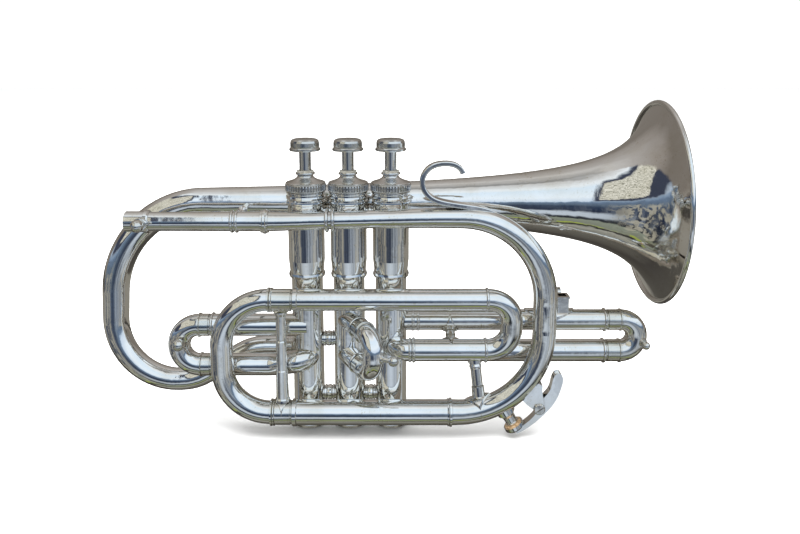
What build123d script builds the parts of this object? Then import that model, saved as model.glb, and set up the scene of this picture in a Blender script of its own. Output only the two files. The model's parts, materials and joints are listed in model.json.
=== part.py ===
from build123d import *
import math
import os

# A B-flat cornet with three piston valves. Millimetres.
# Origin: centre of the mouthpiece receiver's mouth. +X to the bell, +Y to the player's left, +Z up.

# ---- Driving dimensions -------------------------------------------------------------------------
wall = 0.5                      # tube wall
fit = 0.05                      # radial clearance of a slide or piston
overlap_free = 0.02             # gap left where a moving piece lies against a fixed one

valve_pitch = 24.2
valve_x = [96.8, 96.8 + valve_pitch, 96.8 + 2 * valve_pitch]
valve_y = 17.0
valve_travel = 15.0            # the button then rests on the neck felt

lead_radius = 5.3               # leadpipe at the receiver end
lead_end_x = 76.3
crook_lift_x = 86.0             # the crook rises gently from here
crook_rise_x = 168.0            # to here, then runs level
crook_gentle_bend = 600.0
crook_start_radius = 5.55       # crook where it leaves the leadpipe
crook_loop_radius = 6.6         # crook in the lower bend
crook_end_radius = 7.15         # crook at the bottom joint
crook_right_x = 231.6           # centreline of the loop's right side
crook_top_z = 2.0
crook_top_bend = 46.5
crook_low_bend = 48.0
bottom_z = -111.5               # bottom tube centreline
bottom_left_x = 89.0
bottom_joint_x = 180.0

main_z = -44.7                  # upper slide tube centreline
main_radius = 6.15
main_left_x = 90.7
main_right_x = 200.0

return_y = 4.0
return_z = -75.7
return_radius = 6.35
return_bend = 13.3
return_right_x = 213.4          # centreline of the small bow's right side
return_left_x = 157.0

tuning_left_x = 49.7            # centreline of the tuning bow's left side
tuning_bend = 27.0
tuning_upper_radius = 6.25
tuning_lower_radius = 6.5
tuning_sleeve_x = 76.7
tuning_brace_x = 83.5

slide_1_y = 13.8
slide_1_upper_z = -64.2
slide_1_lower_z = -88.4
slide_1_radius = 6.5
slide_1_mouth_x = 41.0
slide_1_bow_x = 33.9
slide_1_wrap_z = -82.5          # the lower tube rises to here and enters the front of the casing

slide_3_y = 18.6
slide_3_upper_z = -62.8
slide_3_lower_z = -81.7
slide_3_upper_radius = 6.1
slide_3_lower_radius = 6.55
slide_3_mouth_x = 271.0
slide_3_bow_x = 279.9

slide_2_heading = 27.2          # degrees that the second slide turns from straight forward to the bell side
slide_2_offset = 3.1            # its tubes start this far to the left of the valve axis
slide_2_upper_z = -60.5
slide_2_lower_z = -81.5
slide_2_radius = 5.85
slide_2_mouth = 21.3            # distances along the slide: the outer tubes' mouths
slide_2_bow = 29.2              # the bow's straight ends
slide_2_crown = 39.7            # the bow's crown

bell_y = 41.0
bell_z = 3.4
bell_rim_x = 304.2
bell_rim_radius = 59.5          # to the centre of the rolled bead
bead_radius = 1.5
bell_flare_reach = 15.2         # the flare is rim * (reach / (reach + distance)) ** power
bell_flare_power = 0.66
bell_wall = 0.5
bell_tilt = 8.2                 # the bell bow leans forward as it comes down
bow_left_x = -21.0
bow_top_bend = 54.0
bow_low_bend = 38.0
bow_depth = 107.2               # along the leaning plane
tail_depth = 87.0
tail_end_x = 84.0
tail_radius = 5.9

ring_width = 1.6
ring_height = 0.8

os.makedirs("parts", exist_ok=True)


# ---- Helpers ------------------------------------------------------------------------------------
def write(piece, name):
    """Label a finished piece and write it."""
    piece.part.label = name
    export_step(piece.part, f"parts/{name}.step")


def side_points(points, y=0.0):
    """(x, z) points in an upright plane at one depth."""
    return [Vector(x, y, z) for x, z in points]


def across(line, share, side):
    """The plane square to a line at a share of its length, with its x axis along side."""
    return Plane(origin=line @ share, x_dir=side, z_dir=line % share)


def rounded_route(points, bends):
    """A route of straight runs joined by arcs."""
    with BuildLine(mode=Mode.PRIVATE) as route:
        if bends:
            FilletPolyline(*points, radius=bends)
        else:
            Line(points[0], points[1])
    return route.wire()


def pipe(points, bends, stations, thickness=wall, side=(0, 1, 0)):
    """A round tube along a route. Stations are (share of length, outside radius); thickness 0 is solid."""
    route = rounded_route(points, bends)
    with BuildPart() as piece:
        shrinks = [(0.0, Mode.ADD)] + ([(thickness, Mode.SUBTRACT)] if thickness else [])
        for shrink, mode in shrinks:
            sections = []
            for share, radius in stations:
                with BuildSketch(across(route, share, side), mode=Mode.PRIVATE) as section:
                    Circle(radius - shrink)
                sections.append(section.sketch)
            sweep(sections=sections, path=route, multisection=len(sections) > 1, mode=mode)
    return piece


def turned(places, outline):
    """A piece turned on a lathe at each place: outline is (radius, height) points about the place's z."""
    with BuildPart() as turning:
        for place in places:
            half = Plane(origin=place.origin, x_dir=place.x_dir, z_dir=-place.y_dir)
            with BuildSketch(half):
                with BuildLine():
                    Polyline(*outline, close=True)
                make_face()
            revolve(axis=Axis(place.origin, place.z_dir))
    return turning


def rings(places, bores, width=ring_width, height=ring_height):
    """Half-round rings, one round each place, each on its own bore."""
    with BuildPart() as piece:
        for place, bore in zip(places, bores):
            half = Plane(origin=place.origin, x_dir=place.x_dir, z_dir=-place.y_dir)
            with BuildSketch(half):
                with BuildLine():
                    ThreePointArc((bore, -width / 2), (bore + height, 0), (bore, width / 2))
                    Line((bore, width / 2), (bore, -width / 2))
                make_face()
            revolve(axis=Axis(place.origin, place.z_dir))
    return piece


def along_x(x, y, z):
    """A place whose axis runs along +X."""
    return Plane(origin=(x, y, z), x_dir=(0, 1, 0), z_dir=(1, 0, 0))


def upright(x, y, z=0.0):
    """A place whose axis runs up."""
    return Plane(origin=(x, y, z))


def between(start, end, side=(1, 0, 0)):
    """A place at start whose axis runs to end."""
    direction = Vector(*end) - Vector(*start)
    return Plane(origin=start, x_dir=side, z_dir=direction)


def rod(place, radius, length):
    """A plain round bar from a place."""
    with BuildPart() as piece:
        with BuildSketch(place):
            Circle(radius)
        extrude(amount=length)
    return piece.part


def ring_tube(place, bore, outside, length):
    """A plain round sleeve from a place."""
    with BuildPart() as piece:
        with BuildSketch(place):
            Circle(outside)
            Circle(bore, mode=Mode.SUBTRACT)
        extrude(amount=length)
    return piece.part


def valve_body(number):
    """The solid outline of a valve's lower casing, for trimming what is soldered to it."""
    return rod(upright(valve_x[number], valve_y, casing_foot_z), casing_lower_radius, 150)


# ---- Valve casings ------------------------------------------------------------------------------
casing_lower_radius = 9.0
casing_upper_radius = 10.4
casing_foot_z = -118.0
casing_top_z = 17.0
casing_ledge_z = -28.0
piston_radius = 8.35
lower_bore = piston_radius + fit
upper_bore = 9.4
cap_low_z = 14.4
cap_top_z = 19.5
neck_top_z = 25.0
neck_felt_top_z = 26.0
stem_radius = 3.3

casing_outline = [
    (lower_bore, casing_foot_z), (casing_lower_radius, casing_foot_z),
    (casing_lower_radius, -35.6), (10.2, -35.3), (10.5, -34.0), (10.2, -32.8), (9.7, -32.5),
    (casing_upper_radius, -25.5), (casing_upper_radius, 6.8),
    (10.9, 7.2), (11.0, 8.0), (10.9, 8.8), (10.5, 9.2),
    (10.5, 9.8), (11.0, 10.2), (11.2, 11.0), (11.0, 11.8), (10.5, 12.2),
    (10.5, 12.7), (11.0, 13.2), (11.0, 13.8), (10.6, cap_low_z),
    (9.9, cap_low_z), (9.9, casing_top_z), (upper_bore, casing_top_z),
    (upper_bore, casing_ledge_z), (lower_bore, casing_ledge_z)]

# Ports of each casing: x of the tube that meets it, height, heading in degrees from +X, radius
port_radius = 5.2
knuckle_bore = 3.4
knuckle_heights = [-73.5, -107.0]       # of the passages from casing 1 to 2 and from 2 to 3
tail_port_z = -82.7
slide_2_port = 270 + slide_2_heading
slide_2_start_x = valve_x[1] - slide_2_offset
casing_ports = [
    [(valve_x[0], slide_1_upper_z, 180, port_radius), (valve_x[0], tail_port_z, 90, port_radius),
     (valve_x[0], slide_1_wrap_z, 270, port_radius), (valve_x[0], knuckle_heights[0], 0, knuckle_bore)],
    [(slide_2_start_x, slide_2_upper_z, slide_2_port, port_radius),
     (slide_2_start_x, slide_2_lower_z, slide_2_port, port_radius),
     (valve_x[1], knuckle_heights[0], 180, knuckle_bore), (valve_x[1], knuckle_heights[1], 0, knuckle_bore)],
    [(valve_x[2], slide_3_upper_z, 0, port_radius), (valve_x[2], slide_3_lower_z, 0, port_radius),
     (valve_x[2], return_z, 270, port_radius), (valve_x[2], knuckle_heights[1], 180, knuckle_bore)]]

for number in range(3):
    place = upright(valve_x[number], valve_y)
    with BuildPart() as casing:
        half = Plane(origin=place.origin, x_dir=place.x_dir, z_dir=-place.y_dir)
        with BuildSketch(half):
            with BuildLine():
                Polyline(*casing_outline, close=True)
            make_face()
        revolve(axis=Axis(place.origin, place.z_dir))
        for start_x, height, heading, bore in casing_ports[number]:
            out = Vector(math.cos(math.radians(heading)), math.sin(math.radians(heading)), 0)
            with BuildSketch(Plane(origin=(start_x, valve_y, height), z_dir=out)):
                Circle(bore)
            extrude(amount=2 * casing_upper_radius, mode=Mode.SUBTRACT)
    write(casing, f"valve_casing_{number + 1}")

# Caps: the top cap has a knurled skirt and a neck round the stem, the bottom cap a vent
valve_places = [upright(x, valve_y) for x in valve_x]
top_cap_outline = [
    (9.9, cap_low_z), (11.3, cap_low_z), (11.6, cap_low_z + 0.3), (11.6, cap_top_z - 1.1),
    (11.2, cap_top_z - 0.8), (11.4, cap_top_z - 0.4), (11.0, cap_top_z), (9.0, cap_top_z + 0.6),
    (6.9, cap_top_z + 1.4), (5.4, cap_top_z + 2.3), (4.6, cap_top_z + 3.2), (4.5, cap_top_z + 3.9),
    (5.1, cap_top_z + 4.2), (5.5, cap_top_z + 4.6), (5.5, neck_top_z - 0.4), (5.1, neck_top_z),
    (stem_radius + 0.1, neck_top_z), (stem_radius + 0.1, 17.5), (9.9, 17.5)]
bottom_cap_outline = [
    (casing_lower_radius, -115.0), (9.9, -115.0), (10.15, -115.4), (10.15, -123.6), (9.4, -125.2),
    (7.2, -126.0), (1.2, -126.0), (1.2, -124.0), (8.6, -124.0), (8.6, casing_foot_z),
    (casing_lower_radius, casing_foot_z)]
write(turned(valve_places, top_cap_outline), "top_caps")
write(turned(valve_places, bottom_cap_outline), "bottom_caps")

# Felts: a washer under each top cap and one on each neck, where the button lands
cap_felt_outline = [(stem_radius + 0.15, 15.1), (7.0, 15.1), (7.0, 17.5), (stem_radius + 0.15, 17.5)]
neck_felt_outline = [(stem_radius + 0.15, neck_top_z), (4.8, neck_top_z), (4.8, neck_felt_top_z),
                     (stem_radius + 0.15, neck_felt_top_z)]
with BuildPart() as felts:
    add(turned(valve_places, cap_felt_outline).part)
    add(turned(valve_places, neck_felt_outline).part)
write(felts, "valve_felts")

# ---- Valve trains -------------------------------------------------------------------------------
piston_top_z = -36.0
piston_low_z = -106.0
barrel_top_z = 15.0
barrel_radius = 7.2
barrel_bore = 6.6
slot_width = 5.0
guide_low_z = casing_ledge_z
guide_thickness = 2.0
spring_radius = 5.3
spring_wire = 0.45
spring_turns = 9
button_low_z = 37.2
button_top_z = 44.2
button_radius = 8.1
button_roof_z = 41.1

# Passages of the three pistons: height, heading, slope
piston_passages = [
    [(-80.0, 10, 24), (-62.0, 80, -20), (-94.0, 130, 12)],
    [(-84.0, 20, 20), (-66.0, 110, -16), (-95.0, 150, 10)],
    [(-78.0, 0, 22), (-60.0, 70, -18), (-93.0, 120, 12)]]
passage_bore = 4.9

button_outline = [
    (6.0, button_low_z), (8.3, button_low_z), (8.75, button_low_z + 0.5), (8.75, button_low_z + 1.2),
    (8.2, button_low_z + 1.8), (7.9, button_low_z + 2.0), (button_radius, button_low_z + 2.5),
    (button_radius, button_top_z - 2.4), (7.8, button_top_z - 1.3), (7.1, button_top_z - 0.6),
    (5.9, button_top_z - 0.2), (0.0, button_top_z), (0.0, button_roof_z), (6.0, button_roof_z)]

for number, place in enumerate(valve_places):
    x = valve_x[number]
    tag = number + 1

    with BuildPart() as piston:
        with Locations((x, valve_y, (piston_top_z + piston_low_z) / 2)):
            Cylinder(piston_radius, piston_top_z - piston_low_z)
            Cylinder(piston_radius - 0.8, piston_top_z - piston_low_z - 2.4, mode=Mode.SUBTRACT)
        for height, heading, slope in piston_passages[number]:
            with Locations(Location((x, valve_y, height), (0, 90 + slope, heading))):
                Cylinder(passage_bore + 0.5, 40)
        with BuildSketch(upright(x, valve_y, piston_low_z - 20)):
            Circle(40)
            Circle(piston_radius, mode=Mode.SUBTRACT)
        extrude(amount=110, mode=Mode.SUBTRACT)
        for height, heading, slope in piston_passages[number]:
            with Locations(Location((x, valve_y, height), (0, 90 + slope, heading))):
                Cylinder(passage_bore, 40, mode=Mode.SUBTRACT)
    write(piston, f"piston_{tag}")

    with BuildPart() as barrel:
        with BuildSketch(upright(x, valve_y, piston_top_z)):
            Circle(barrel_radius)
        extrude(amount=barrel_top_z - piston_top_z)
        with BuildSketch(upright(x, valve_y, piston_top_z)):
            Circle(barrel_bore)
        extrude(amount=barrel_top_z - piston_top_z - 1.2, mode=Mode.SUBTRACT)
        slot_low = guide_low_z - 1.0
        slot_top = guide_low_z + guide_thickness + valve_travel + 1.0
        with Locations((x, valve_y, (slot_low + slot_top) / 2)):
            Box(2 * barrel_radius + 2, slot_width, slot_top - slot_low, mode=Mode.SUBTRACT)
        with BuildSketch(upright(x, valve_y, barrel_top_z)):
            Circle(stem_radius)
        extrude(amount=button_roof_z - barrel_top_z)
    write(barrel, f"valve_stem_{tag}")

    with BuildPart() as spring:
        spring_low = guide_low_z + guide_thickness + spring_wire
        spring_top = barrel_top_z - 1.2 - spring_wire
        with BuildLine() as coil:
            Helix(pitch=(spring_top - spring_low) / spring_turns, height=spring_top - spring_low,
                  radius=spring_radius, center=(x, valve_y, spring_low))
        with BuildSketch(Plane(origin=coil.line @ 0, z_dir=coil.line % 0)):
            Circle(spring_wire - overlap_free)
        sweep(path=coil.line, is_frenet=True)
    write(spring, f"valve_spring_{tag}")

    write(turned([place], button_outline), f"finger_button_{tag}")

with BuildPart() as guides:
    for x in valve_x:
        with BuildSketch(upright(x, valve_y, guide_low_z)):
            Circle(barrel_bore - 0.15)
            Rectangle(2 * upper_bore - 0.8, slot_width - 0.4)
            Circle(2.0, mode=Mode.SUBTRACT)
        extrude(amount=guide_thickness)
write(guides, "valve_guides")

# ---- Receiver and leadpipe ----------------------------------------------------------------------
receiver_radius = 5.75
receiver_length = 13.3
receiver_bore = 4.85
socket_depth = 20.0
screw_x = 10.2
boss_radius = 3.3
boss_reach = 7.9                # from the bore's axis
screw_radius = 1.5

receiver_outline = [
    (receiver_bore, 0.0), (5.45, 0.0), (receiver_radius, 0.3), (receiver_radius, 10.6), (6.4, 10.9),
    (6.4, 12.6), (5.8, receiver_length), (lead_radius, receiver_length), (lead_radius, 1.5),
    (receiver_bore, 1.5)]
with BuildPart() as receiver:
    add(turned([along_x(0, 0, 0)], receiver_outline).part)
    add(rod(Plane(origin=(screw_x, -lead_radius, 0), z_dir=(0, -1, 0)), boss_radius,
            boss_reach - lead_radius))
    add(rod(along_x(0, 0, 0), receiver_bore, 1.5), mode=Mode.SUBTRACT)
    add(rod(along_x(1.5, 0, 0), lead_radius, 20), mode=Mode.SUBTRACT)
    add(rod(Plane(origin=(screw_x, 0, 0), z_dir=(0, -1, 0)), screw_radius, 20), mode=Mode.SUBTRACT)
write(receiver, "mouthpiece_receiver")

# The leadpipe's own end is the socket for the mouthpiece; the receiver is the sleeve round it
with BuildPart() as leadpipe:
    add(turned([along_x(0, 0, 0)], [
        (receiver_bore, 1.5), (lead_radius, 1.5), (lead_radius, 30.0), (crook_start_radius, lead_end_x),
        (crook_start_radius - wall, lead_end_x), (4.35, 30.0), (4.35, socket_depth),
        (receiver_bore, socket_depth)]).part)
    add(rod(Plane(origin=(screw_x, 0, 0), z_dir=(0, -1, 0)), screw_radius, 20), mode=Mode.SUBTRACT)
write(leadpipe, "leadpipe")

# Ball-headed screw that clamps the mouthpiece shank
ball_radius = 3.5
ball_y = -12.4
with BuildPart() as clamp_screw:
    add(turned([Plane(origin=(screw_x, 0, 0), z_dir=(0, -1, 0))], [
        (0.0, 5.1), (screw_radius - fit, 5.1), (screw_radius - fit, boss_reach + 0.1),
        (3.4, boss_reach + 0.1), (3.7, boss_reach + 0.4), (3.4, boss_reach + 0.8), (1.6, boss_reach + 1.2),
        (1.6, -ball_y), (0.0, -ball_y)]).part)
    with Locations((screw_x, ball_y, 0)):
        Sphere(ball_radius)
write(clamp_screw, "receiver_screw")

loop_centre = Vector(crook_right_x - crook_low_bend, 0, bottom_z + crook_low_bend)
crook_points = side_points([
    (lead_end_x, 0), (crook_lift_x, 0), (crook_rise_x, crook_top_z), (crook_right_x, crook_top_z),
    (crook_right_x, bottom_z), (bottom_joint_x, bottom_z)])
crook_bends = [crook_gentle_bend, crook_gentle_bend, crook_top_bend, crook_low_bend]
crook_stations = [(0.0, crook_start_radius), (0.36, 5.75), (0.5, 6.35), (0.82, crook_loop_radius),
                  (1.0, crook_end_radius)]
crook = pipe(crook_points, crook_bends, crook_stations)
write(crook, "main_crook")
crook_outside = pipe(crook_points, crook_bends, crook_stations, thickness=0).part

# ---- Main tubes at the leadpipe's depth ---------------------------------------------------------
with BuildPart() as slide_tubes:
    add(ring_tube(along_x(bottom_left_x, 0, bottom_z), crook_end_radius - wall, crook_end_radius,
                  bottom_joint_x - bottom_left_x))
    add(ring_tube(along_x(main_left_x, 0, main_z), main_radius - wall, main_radius,
                  main_right_x - main_left_x))
write(slide_tubes, "main_slide_tubes")

return_drop = Vector(0, return_y, return_z - main_z)
small_bow = pipe([
    Vector(main_right_x, 0, main_z), Vector(return_right_x, 0, main_z),
    Vector(return_right_x, 0, main_z) + return_drop, Vector(main_right_x, 0, main_z) + return_drop],
    [return_bend, return_bend], [(0, main_radius), (1, return_radius)],
    side=Vector(1, 0, 0).cross(return_drop))
write(small_bow, "return_bow")

return_tube = pipe([Vector(main_right_x, return_y, return_z), Vector(return_left_x, return_y, return_z)], [],
                   [(0, return_radius)])
write(return_tube, "return_tube")

elbow_x = 148.4
elbow_bend = 6.7
elbow = pipe([
    Vector(return_left_x, return_y, return_z), Vector(elbow_x, return_y, return_z),
    Vector(elbow_x, valve_y, return_z)], [elbow_bend], [(0, 6.1)], side=(0, 0, 1))
with BuildPart() as return_elbow:
    add(elbow.part)
    add(valve_body(2), mode=Mode.SUBTRACT)
    add(rod(along_x(valve_x[2], slide_3_y, slide_3_lower_z), slide_3_lower_radius, 30), mode=Mode.SUBTRACT)
write(return_elbow, "return_elbow")

# ---- Main tuning slide --------------------------------------------------------------------------
inner_upper = main_radius - wall - fit
inner_lower = crook_end_radius - wall - fit
inner_reach_x = 150.0           # how far right the inner legs go when the slide is home

tuning_bow = pipe(side_points([
    (tuning_sleeve_x, main_z), (tuning_left_x, main_z), (tuning_left_x, bottom_z),
    (tuning_sleeve_x, bottom_z)]), [tuning_bend - 0.01, tuning_bend - 0.01],
    [(0, tuning_upper_radius), (1, tuning_lower_radius)])
write(tuning_bow, "tuning_slide_bow")

with BuildPart() as tuning_legs:
    for z, radius in ((main_z, inner_upper), (bottom_z, inner_lower)):
        add(ring_tube(along_x(tuning_sleeve_x, 0, z), radius - wall, radius, inner_reach_x - tuning_sleeve_x))
    for z, leg, mouth_x, outside in ((main_z, inner_upper, main_left_x, tuning_upper_radius),
                                     (bottom_z, inner_lower, bottom_left_x, 6.85)):
        sleeve_end = mouth_x - 0.3 - ring_width / 2 - tuning_sleeve_x
        add(turned([along_x(tuning_sleeve_x, 0, z)], [
            (leg, 0.0), (outside + 0.75, 0.0), (outside + 0.75, 0.9), (outside + 0.1, 1.3),
            (outside + 0.6, 1.7), (outside + 0.6, 2.3), (outside + 0.1, 2.7),
            (outside + 0.1, sleeve_end), (leg, sleeve_end)]).part)
write(tuning_legs, "tuning_slide_legs")


def wrapped_pad(place, tube, thickness, outline):
    """A thin pad wrapped on a tube, with the outline that a sketch draws. The place sits on the tube's
    axis, its z points out through the pad and its x runs along the tube."""
    with BuildPart() as pad:
        with BuildSketch(place):
            outline()
        extrude(amount=tube + thickness)
        along = Plane(origin=place.origin - place.x_dir * 60, x_dir=place.y_dir, z_dir=place.x_dir)
        add(ring_tube(along, tube + thickness, tube + 40, 120), mode=Mode.SUBTRACT)
        add(rod(along, tube, 120), mode=Mode.SUBTRACT)
    return pad.part


def diamond_foot(place, tube, width, length, thickness=0.9):
    """A diamond-shaped pad, width round the tube and length along it."""
    corners = [(-length / 2, 0), (0, width / 2), (length / 2, 0), (0, -width / 2)]
    return wrapped_pad(place, tube, thickness, lambda: Polygon(*corners, align=None))


brace_low_z = bottom_z + 6.95 + 0.9
brace_high_z = main_z - tuning_upper_radius - 0.1 - 0.9
brace_joint_z = -68.2
with BuildPart() as tuning_brace:
    add(turned([upright(tuning_brace_x, 0)], [
        (0.0, brace_low_z - 0.6), (4.4, brace_low_z - 0.6), (4.2, brace_low_z + 0.6),
        (3.6, brace_low_z + 1.4), (3.4, brace_joint_z - 18.0), (3.1, brace_joint_z - 17.4),
        (3.0, brace_joint_z - 0.8),
        (2.4, brace_joint_z), (2.8, brace_joint_z + 0.6), (2.8, brace_high_z - 2.0),
        (3.7, brace_high_z - 0.4), (3.7, brace_high_z + 0.6), (0.0, brace_high_z + 0.6)]).part)
    for z, tube, up in ((main_z, tuning_upper_radius + 0.1, -1), (bottom_z, 6.95, 1)):
        place = Plane(origin=(tuning_brace_x, 0, z), x_dir=(1, 0, 0), z_dir=(0, 0, up))
        add(diamond_foot(place, tube, 2 * tube, 8.6))
        add(rod(along_x(tuning_brace_x - 20, 0, z), tube, 40), mode=Mode.SUBTRACT)
write(tuning_brace, "tuning_slide_brace")

# ---- First slide --------------------------------------------------------------------------------
slide_1_leg = slide_1_radius - wall - fit
slide_1_reach_x = 70.0
slide_1_wrap_y = 5.6
valve_1 = valve_body(0)

with BuildPart() as slide_1_tubes:
    add(ring_tube(along_x(slide_1_mouth_x, slide_1_y, slide_1_upper_z), slide_1_radius - wall, slide_1_radius,
                  valve_x[0] - slide_1_mouth_x))
    # The lower tube swings forward and turns into the front of the casing
    add(pipe([
        Vector(slide_1_mouth_x, slide_1_y, slide_1_lower_z), Vector(77.0, slide_1_y, slide_1_lower_z),
        Vector(valve_x[0] + 0.8, slide_1_wrap_y, slide_1_wrap_z),
        Vector(valve_x[0] + 0.8, valve_y, slide_1_wrap_z)], [16.0, 6.6], [(0, slide_1_radius)],
        side=(0, 0, 1)).part)
    add(valve_1, mode=Mode.SUBTRACT)
write(slide_1_tubes, "first_slide_tubes")

slide_1_spread = slide_1_upper_z - slide_1_lower_z
slide_1_bow = pipe([
    Vector(slide_1_bow_x, slide_1_y, slide_1_upper_z),
    Vector(slide_1_bow_x - slide_1_spread / 2, slide_1_y, slide_1_upper_z),
    Vector(slide_1_bow_x - slide_1_spread / 2, slide_1_y, slide_1_lower_z),
    Vector(slide_1_bow_x, slide_1_y, slide_1_lower_z)],
    [slide_1_spread / 2 - 0.01] * 2, [(0, slide_1_radius - 0.1)])
write(slide_1_bow, "first_slide_bow")

with BuildPart() as slide_1_legs:
    for z in (slide_1_upper_z, slide_1_lower_z):
        add(ring_tube(along_x(slide_1_bow_x, slide_1_y, z), slide_1_leg - wall, slide_1_leg,
                      slide_1_reach_x - slide_1_bow_x))
        add(turned([along_x(slide_1_bow_x, slide_1_y, z)], [
            (slide_1_leg, 0.0), (slide_1_radius + 0.55, 0.0), (slide_1_radius + 0.55, 0.8),
            (slide_1_radius, 1.2), (slide_1_radius, slide_1_mouth_x - slide_1_bow_x - 1.1),
            (slide_1_leg, slide_1_mouth_x - slide_1_bow_x - 1.1)]).part)
write(slide_1_legs, "first_slide_legs")


def pull_knob(place, bow, collar_reach, ball):
    """A ball knob on a short neck; the place sits on the bow's centreline with z out of the bow."""
    neck = bow + collar_reach
    with BuildPart() as knob:
        add(turned([place], [
            (0.0, 0.0), (2.6, 0.0), (2.6, bow + 0.5), (1.5, bow + 1.1), (1.3, neck), (0.0, neck)]).part)
        with Locations(place.origin + place.z_dir * (neck + ball * 0.8)):
            Sphere(ball)
    return knob


slide_1_crown_x = slide_1_bow_x - slide_1_spread / 2
slide_1_middle_z = (slide_1_upper_z + slide_1_lower_z) / 2
with BuildPart() as slide_1_knob:
    add(pull_knob(Plane(origin=(slide_1_crown_x, slide_1_y, slide_1_middle_z), x_dir=(0, 1, 0),
                        z_dir=(0.22, -0.92, 0.32)), slide_1_radius - 0.1, 0.4, 3.6).part)
    add(slide_1_bow.part, mode=Mode.SUBTRACT)
    with BuildSketch(Plane.XY.offset(slide_1_middle_z)):
        with Locations((slide_1_crown_x, slide_1_y)):
            Circle(slide_1_radius - 0.1)
    extrude(amount=4, both=True, mode=Mode.SUBTRACT)
write(slide_1_knob, "first_slide_knob")

# ---- Third slide --------------------------------------------------------------------------------
slide_3_reach_x = 205.0
slide_3_legs_spec = [(slide_3_upper_z, slide_3_upper_radius), (slide_3_lower_z, slide_3_lower_radius)]
valve_3 = valve_body(2)
with BuildPart() as slide_3_tubes:
    for z, radius in slide_3_legs_spec:
        add(ring_tube(along_x(valve_x[2], slide_3_y, z), radius - wall, radius, slide_3_mouth_x - valve_x[2]))
    add(valve_3, mode=Mode.SUBTRACT)
write(slide_3_tubes, "third_slide_tubes")

slide_3_spread = slide_3_upper_z - slide_3_lower_z
slide_3_bow = pipe([
    Vector(slide_3_bow_x, slide_3_y, slide_3_upper_z),
    Vector(slide_3_bow_x + slide_3_spread / 2, slide_3_y, slide_3_upper_z),
    Vector(slide_3_bow_x + slide_3_spread / 2, slide_3_y, slide_3_lower_z),
    Vector(slide_3_bow_x, slide_3_y, slide_3_lower_z)],
    [slide_3_spread / 2 - 0.01] * 2, [(0, slide_3_upper_radius), (1, slide_3_lower_radius)])
write(slide_3_bow, "third_slide_bow")

with BuildPart() as slide_3_legs:
    for z, radius in slide_3_legs_spec:
        leg = radius - wall - fit
        start = slide_3_mouth_x + 1.1 - slide_3_reach_x
        finish = slide_3_bow_x - slide_3_reach_x
        add(ring_tube(along_x(slide_3_reach_x, slide_3_y, z), leg - wall, leg, finish))
        add(turned([along_x(slide_3_reach_x, slide_3_y, z)], [
            (leg, start), (radius, start), (radius, finish - 1.2), (radius + 0.5, finish - 0.8),
            (radius + 0.5, finish), (leg, finish)]).part)
write(slide_3_legs, "third_slide_legs")

slide_3_crown_x = slide_3_bow_x + slide_3_spread / 2
slide_3_middle_z = (slide_3_upper_z + slide_3_lower_z) / 2
with BuildPart() as slide_3_knob:
    add(pull_knob(Plane(origin=(slide_3_crown_x, slide_3_y, slide_3_middle_z), x_dir=(0, 1, 0),
                        z_dir=(0.38, -0.84, -0.38)), slide_3_lower_radius, 1.0, 2.4).part)
    with BuildSketch(Plane.XY.offset(slide_3_middle_z)):
        with Locations((slide_3_crown_x, slide_3_y)):
            Circle(slide_3_lower_radius - 0.25)
    extrude(amount=4, both=True, mode=Mode.SUBTRACT)
    add(slide_3_bow.part, mode=Mode.SUBTRACT)
write(slide_3_knob, "third_slide_knob")

# ---- Second slide -------------------------------------------------------------------------------
slide_2_turn = math.radians(270 + slide_2_heading)
slide_2_out = Vector(math.cos(slide_2_turn), math.sin(slide_2_turn), 0)
slide_2_side = Vector(0, 0, 1).cross(slide_2_out)
slide_2_leg = slide_2_radius - wall - fit
slide_2_reach = 11.2            # the inner legs end this far along the slide
slide_2_root = 2.0              # the outer tubes start inside the casing's wall
slide_2_start = Vector(slide_2_start_x, valve_y, 0)


def along_slide_2(distance, z):
    """A place on a second-slide tube, with its axis pointing out of the instrument."""
    return Plane(origin=slide_2_start + slide_2_out * distance + Vector(0, 0, z), x_dir=slide_2_side,
                 z_dir=slide_2_out)


slide_2_heights = [slide_2_upper_z, slide_2_lower_z]
with BuildPart() as slide_2_outer:
    for z in slide_2_heights:
        add(ring_tube(along_slide_2(slide_2_root, z), slide_2_radius - wall, slide_2_radius,
                      slide_2_mouth - slide_2_root))
    add(valve_body(1), mode=Mode.SUBTRACT)
write(slide_2_outer, "second_slide_tubes")

slide_2_spread = slide_2_upper_z - slide_2_lower_z
slide_2_bow_piece = pipe([
    along_slide_2(slide_2_bow, slide_2_upper_z).origin,
    along_slide_2(slide_2_crown, slide_2_upper_z).origin,
    along_slide_2(slide_2_crown, slide_2_lower_z).origin,
    along_slide_2(slide_2_bow, slide_2_lower_z).origin],
    [slide_2_spread / 2 - 0.01] * 2, [(0, slide_2_radius - 0.1)], side=slide_2_side)
write(slide_2_bow_piece, "second_slide_bow")

with BuildPart() as slide_2_legs:
    for z in slide_2_heights:
        start = slide_2_mouth + 1.1 - slide_2_reach
        finish = slide_2_bow - slide_2_reach
        add(ring_tube(along_slide_2(slide_2_reach, z), slide_2_leg - wall, slide_2_leg, finish))
        add(turned([along_slide_2(slide_2_reach, z)], [
            (slide_2_leg, start), (slide_2_radius, start), (slide_2_radius, finish - 1.2),
            (slide_2_radius + 0.5, finish - 0.8), (slide_2_radius + 0.5, finish),
            (slide_2_leg, finish)]).part)
write(slide_2_legs, "second_slide_legs")

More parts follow.
